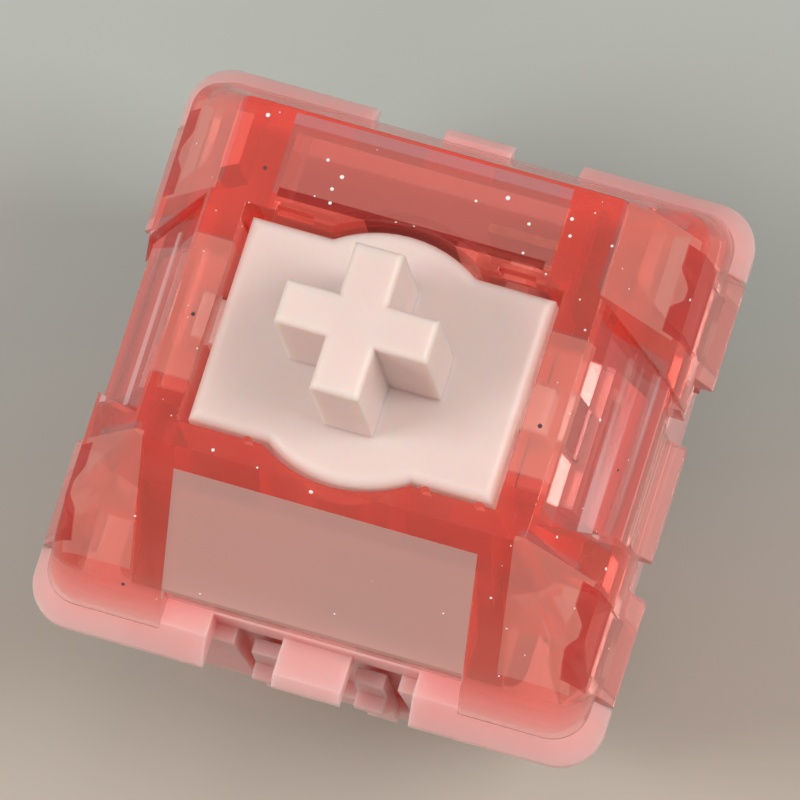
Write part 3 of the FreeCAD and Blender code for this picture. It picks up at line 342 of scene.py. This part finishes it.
def tinted_polycarbonate():
    """See-through red moulding: pale where it is thin, deep red along its walls, with faint flow waves."""
    material, tree, output, place = new_material("tinted_polycarbonate_finish")
    split = node(tree, "SeparateXYZ", {0: place})
    frost = window_frost(tree, place, split)
    edges = node(tree, "Bevel", {"Radius": 0.05 * MM}, samples=4)
    waves = noise(tree, place, 380, detail=1.5)
    normal = bump(tree, waves, 0.012 * MM, under=edges.outputs["Normal"])
    haze = spread(tree, noise(tree, place, 900, detail=2), 0.02, 0.07)
    matt = spread(tree, frost, 0.0, FROST_ROUGHNESS, 0, 1)
    roughness = node(tree, "Math", {0: haze, 1: matt}, operation="ADD").outputs[0]
    glass = node(tree, "BsdfPrincipled", {
        "Base Color": (1.0, 0.95, 0.94, 1), "Roughness": roughness, "IOR": 1.585,
        "Transmission Weight": 1.0, "Normal": normal})
    milk, share = housing_milk(tree, place, split, normal, frost)
    milky = node(tree, "MixShader", {0: share, 1: glass.outputs[0], 2: milk.outputs[0]})
    path = node(tree, "LightPath")
    passing = larger(tree, path.outputs["Is Shadow Ray"], path.outputs["Is Diffuse Ray"])
    clear = node(tree, "BsdfTransparent", {"Color": (1.0, 0.93, 0.92, 1)})
    mixed = node(tree, "MixShader", {0: passing, 1: milky.outputs[0], 2: clear.outputs[0]})
    tint = node(tree, "VolumeAbsorption", {"Color": (0.955, 0.27, 0.20, 1), "Density": 420.0})
    tree.links.new(mixed.outputs[0], output.inputs["Surface"])
    tree.links.new(tint.outputs[0], output.inputs["Volume"])
    return material


def pale_nylon():
    """Milky pink lower housing: light soaks in at its rims, and its faces are satin."""
    material, tree, output, place = new_material("pale_nylon_finish")
    edges = node(tree, "Bevel", {"Radius": 0.09 * MM}, samples=4)
    colour = ramp(tree, noise(tree, place, 260, detail=4), (0.72, 0.335, 0.32, 1), (0.77, 0.40, 0.38, 1))
    grain = noise(tree, place, 9000, detail=4)
    surface = node(tree, "BsdfPrincipled", {
        "Base Color": colour, "Roughness": spread(tree, grain, 0.30, 0.42), "IOR": 1.53,
        "Subsurface Weight": 0.9, "Subsurface Radius": (1.0, 0.55, 0.50), "Subsurface Scale": 2.4 * MM,
        "Normal": bump(tree, grain, 0.004 * MM, under=edges.outputs["Normal"])})
    tree.links.new(surface.outputs[0], output.inputs["Surface"])
    return material


def stem_acetal():
    """Cream pink stem: satin moulded faces that glow warm where they face each other."""
    material, tree, output, place = new_material("stem_acetal_finish")
    edges = node(tree, "Bevel", {"Radius": 0.20 * MM}, samples=6)
    colour = ramp(tree, noise(tree, place, 330, detail=4), (0.71, 0.555, 0.515, 1), (0.74, 0.605, 0.56, 1))
    grain = noise(tree, place, 7000, detail=5, roughness=0.6)
    surface = node(tree, "BsdfPrincipled", {
        "Base Color": colour, "Roughness": spread(tree, grain, 0.30, 0.46), "IOR": 1.48,
        "Subsurface Weight": 0.8, "Subsurface Radius": (1.0, 0.50, 0.32), "Subsurface Scale": 1.3 * MM,
        "Normal": bump(tree, grain, 0.004 * MM, under=edges.outputs["Normal"])})
    tree.links.new(surface.outputs[0], output.inputs["Surface"])
    return material


def drawn_metal(name, dark, bright, roughness, stretch):
    """Bright sheet or wire, with fine lines along the way it was drawn or rolled."""
    material, tree, output, place = new_material(name)
    lines = noise(tree, place, 5000, detail=4, stretch=stretch)
    surface = node(tree, "BsdfPrincipled", {
        "Base Color": ramp(tree, lines, dark, bright), "Metallic": 1.0,
        "Roughness": spread(tree, lines, roughness, roughness + 0.16),
        "Normal": bump(tree, lines, 0.003 * MM)})
    tree.links.new(surface.outputs[0], output.inputs["Surface"])
    return material


def speck_finish(name, dark, bright):
    """Dust and tiny bubbles. The pale version paints the glint of the bubbles as a near-white colour."""
    material, tree, output, place = new_material(name)
    colour = ramp(tree, noise(tree, place, 20000), dark, bright)
    surface = node(tree, "BsdfPrincipled", {"Base Color": colour, "Roughness": 0.5})
    tree.links.new(surface.outputs[0], output.inputs["Surface"])
    return material


def floor_finish():
    """Plain pale paper, very slightly uneven, and warmer to the south than to the north."""
    material, tree, output, place = new_material("floor_paper")
    cool_side = (math.cos(FLOOR_COOL_HEADING), math.sin(FLOOR_COOL_HEADING), 0)
    along = reach_along(tree, place, cool_side)
    side = spread(tree, along, 0.0, 1.0, -FLOOR_TURN, FLOOR_TURN, curve="SMOOTHSTEP")
    cloud = noise(tree, place, 40, detail=3)
    warm = ramp(tree, cloud, (0.425, 0.370, 0.315, 1), (0.455, 0.400, 0.345, 1))
    cool = ramp(tree, cloud, (0.374, 0.391, 0.356, 1), (0.403, 0.420, 0.386, 1))
    colour = mix_colour(tree, side, warm, cool)
    surface = node(tree, "BsdfPrincipled", {
        "Base Color": colour, "Roughness": 0.9, "Specular IOR Level": 0.1})
    tree.links.new(surface.outputs[0], output.inputs["Surface"])
    return material


def mesh_object(name, vertices, faces, material, smooth=True):
    """A new piece made of the given points and faces, with one material."""
    mesh = bpy.data.meshes.new(name)
    mesh.from_pydata(vertices, [], faces)
    mesh.polygons.foreach_set("use_smooth", [smooth] * len(faces))
    mesh.materials.append(material)
    mesh.update()
    made = bpy.data.objects.new(name, mesh)
    bpy.context.scene.collection.objects.link(made)
    return made


def camera_axes():
    """The camera's right, up and back directions."""
    back = Vector((math.sin(CAMERA_AZIMUTH) * math.cos(CAMERA_ELEVATION),
                   -math.cos(CAMERA_AZIMUTH) * math.cos(CAMERA_ELEVATION), math.sin(CAMERA_ELEVATION)))
    level = Vector((math.cos(CAMERA_AZIMUTH), math.sin(CAMERA_AZIMUTH), 0))
    raised = back.cross(level)
    right = level * math.cos(CAMERA_ROLL) + raised * math.sin(CAMERA_ROLL)
    return right, back.cross(right), back


def make_camera():
    """The photo's camera."""
    right, up, back = camera_axes()
    data = bpy.data.cameras.new("camera")
    data.lens = CAMERA_LENS
    data.sensor_width = CAMERA_SENSOR
    data.clip_start = CAMERA_NEAR
    data.clip_end = CAMERA_FAR
    camera = bpy.data.objects.new("camera", data)
    place = CAMERA_TARGET + back * CAMERA_DISTANCE
    camera.matrix_world = Matrix.Translation(place) @ Matrix((right, up, back)).transposed().to_4x4()
    bpy.context.scene.collection.objects.link(camera)
    bpy.context.scene.camera = camera


def make_softbox(name, side, power):
    """A soft area lamp beside the frame, at the given side of the camera, turned to the switch."""
    right, up, _ = camera_axes()
    place = right * side - up * SOFTBOX_FORWARD
    place.z = SOFTBOX_HEIGHT
    data = bpy.data.lights.new(name, "AREA")
    data.shape = "RECTANGLE"
    data.size = SOFTBOX_WIDTH
    data.size_y = SOFTBOX_DEPTH
    data.energy = power
    lamp = bpy.data.objects.new(name, data)
    lamp.location = place
    lamp.rotation_mode = "QUATERNION"
    lamp.rotation_quaternion = (-place).to_track_quat("-Z", "Y")
    bpy.context.scene.collection.objects.link(lamp)


def make_sky():
    """Soft light from all round, brighter above. Camera, gloss and glass see the backdrop instead."""
    world = bpy.data.worlds.new("sky")
    bpy.context.scene.world = world
    world.use_nodes = True
    tree = world.node_tree
    tree.nodes.clear()
    output = tree.nodes.new("ShaderNodeOutputWorld")
    split = node(tree, "SeparateXYZ", {0: node(tree, "TexCoord").outputs["Generated"]})
    colour = ramp(tree, split.outputs["Z"], SKY_LOW, SKY_HIGH, 0.0, 0.9)
    light = node(tree, "Background", {"Color": colour, "Strength": 1.0})
    backdrop = node(tree, "Background", {"Color": BACKDROP, "Strength": 1.0})
    path = node(tree, "LightPath")
    rays = ("Is Camera Ray", "Is Glossy Ray", "Is Transmission Ray")
    seen = any_of(tree, [path.outputs[name] for name in rays])
    mixed = node(tree, "MixShader", {0: seen, 1: light.outputs[0], 2: backdrop.outputs[0]})
    tree.links.new(mixed.outputs[0], output.inputs["Surface"])


def make_floor():
    """The paper that the switch stands on."""
    half = FLOOR_HALF
    level = cad_low.z
    corners = [(-half, -half, level), (half, -half, level), (half, half, level), (-half, half, level)]
    floor = mesh_object("floor", corners, [(0, 1, 2, 3)], floor_finish(), smooth=False)


SPRING_WIRE = 0.24 * MM
SPRING_TURNS = 10
SPRING_STATIONS = 48
SPRING_SIDES = 12


def make_spring(material):
    """The return spring as a round smooth wire."""
    low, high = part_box("return_spring")
    wire = SPRING_WIRE / 2
    radius = high.x - wire
    rise = high.z - low.z - SPRING_WIRE
    count = SPRING_TURNS * SPRING_STATIONS
    vertices = []
    for station in range(count + 1):
        turn = 2 * math.pi * station / SPRING_STATIONS
        out = Vector((math.cos(turn), math.sin(turn), 0))
        middle = out * radius + Vector((0, 0, low.z + wire + rise * station / count))
        for side in range(SPRING_SIDES):
            angle = 2 * math.pi * side / SPRING_SIDES
            vertices.append(middle + out * (wire * math.cos(angle)) + Vector((0, 0, wire * math.sin(angle))))
    faces = []
    for station in range(count):
        for side in range(SPRING_SIDES):
            here = station * SPRING_SIDES
            following = here + SPRING_SIDES
            across = (side + 1) % SPRING_SIDES
            faces.append((here + side, here + across, following + across, following + side))
    faces.append(tuple(range(SPRING_SIDES)))
    faces.append(tuple(range(count * SPRING_SIDES, (count + 1) * SPRING_SIDES))[::-1])
    spring = mesh_object("spring_wire", vertices, [face[::-1] for face in faces], material)
    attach(spring, "housing")
    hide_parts("return_spring")
    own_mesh(spring)


# Specks that show in the photo on the upper housing: column and row in the 800 pixel frame, then size in mm.
LIGHT_SPECKS = [
    (328, 160, 0.11), (342, 177, 0.14), (332, 189, 0.12), (330, 203, 0.11), (396, 222, 0.08),
    (414, 226, 0.08), (476, 201, 0.09), (508, 198, 0.15), (529, 224, 0.11), (523, 253, 0.09),
    (572, 219, 0.12), (570, 236, 0.11), (268, 115, 0.14), (213, 450, 0.11), (311, 492, 0.14),
    (600, 420, 0.11), (557, 537, 0.09), (606, 569, 0.11), (491, 598, 0.09), (135, 516, 0.08),
    (450, 262, 0.08), (612, 246, 0.09), (690, 300, 0.09), (585, 330, 0.08),
]
DARK_SPECKS = [
    (265, 168, 0.11), (193, 314, 0.12), (123, 584, 0.12), (540, 426, 0.14), (541, 150, 0.08),
    (618, 470, 0.08),
]
SPRINKLED = 70
SPRINKLE_SEED = 7
SPRINKLE_COLUMNS = (130, 700)
SPRINKLE_ROWS = (110, 680)
SPRINKLE_SIZE = (0.03, 0.07)
SPECK_FLATNESS = 0.5


def sprinkle():
    """Smaller specks, scattered over the picture of the upper housing."""
    chance = random.Random(SPRINKLE_SEED)
    specks = []
    for _ in range(SPRINKLED):
        column = chance.uniform(*SPRINKLE_COLUMNS)
        row = chance.uniform(*SPRINKLE_ROWS)
        specks.append((column, row, chance.uniform(*SPRINKLE_SIZE)))
    return specks


def surface_of(name):
    """A lookup of where a ray first meets a CAD node."""
    mesh = nodes[name].data
    return BVHTree.FromPolygons([v.co for v in mesh.vertices], [tuple(p.vertices) for p in mesh.polygons])


def make_specks(name, spots, material):
    """Flattened grains that sit on the upper housing where the camera's rays meet it."""
    right, up, back = camera_axes()
    eye = CAMERA_TARGET + back * CAMERA_DISTANCE
    focal = CAMERA_LENS / CAMERA_SENSOR * PHOTO_SIZE
    shell = surface_of("top_housing")
    form = bmesh.new()
    bmesh.ops.create_icosphere(form, subdivisions=1, radius=0.5)
    ball = [v.co.copy() for v in form.verts]
    ball_faces = [[v.index for v in f.verts] for f in form.faces]
    form.free()
    vertices, faces = [], []
    for column, row, size in spots:
        ray = right * ((column - PHOTO_MIDDLE) / focal) - up * ((row - PHOTO_MIDDLE) / focal) - back
        point, normal, _, _ = shell.ray_cast(eye, ray.normalized())
        if point is None:
            continue
        turn = normal.to_track_quat("Z", "Y").to_matrix()
        first = len(vertices)
        for corner in ball:
            flat = Vector((corner.x, corner.y, corner.z * SPECK_FLATNESS))
            vertices.append(point + turn @ (flat * size * MM))
        faces += [[first + index for index in face] for face in ball_faces]
    piece = mesh_object(name, vertices, faces, material)
    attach(piece, "housing")


def dress(name, material):
    """Gives a CAD node its finish."""
    slots = nodes[name].material_slots
    for slot in slots:
        slot.material = material


steel = drawn_metal("spring_steel_finish", (0.45, 0.45, 0.47, 1), (0.78, 0.78, 0.80, 1), 0.22, (1, 1, 6))
brass = drawn_metal("contact_brass_finish", (0.52, 0.35, 0.16, 1), (0.60, 0.42, 0.20, 1), 0.28, (1, 1, 0.15))

dress("top_housing", tinted_polycarbonate())
dress("bottom_housing", pale_nylon())
dress("stem", stem_acetal())
for brass_piece in BRASS_PIECES:
    dress(brass_piece, brass)
make_spring(steel)

# The pale specks are real grains painted near white: painted glints of the tiny bubbles in the moulding.
pale_speck_glints = speck_finish("speck_glint_light", (0.72, 0.70, 0.68, 1), (0.95, 0.94, 0.92, 1))
dark_dust = speck_finish("dust_dark", (0.03, 0.02, 0.03, 1), (0.10, 0.06, 0.07, 1))
make_specks("light_specks", LIGHT_SPECKS + sprinkle(), pale_speck_glints)
make_specks("dark_specks", DARK_SPECKS, dark_dust)

scene = bpy.context.scene
scene.view_settings.view_transform = "Standard"
scene.cycles.max_bounces = LIGHT_BOUNCES
scene.cycles.transmission_bounces = LIGHT_BOUNCES
scene.cycles.transparent_max_bounces = LIGHT_BOUNCES
make_floor()
make_sky()
make_softbox("softbox_left", -SOFTBOX_SIDE, LEFT_POWER)
make_softbox("softbox_right", SOFTBOX_SIDE, RIGHT_POWER)
make_camera()
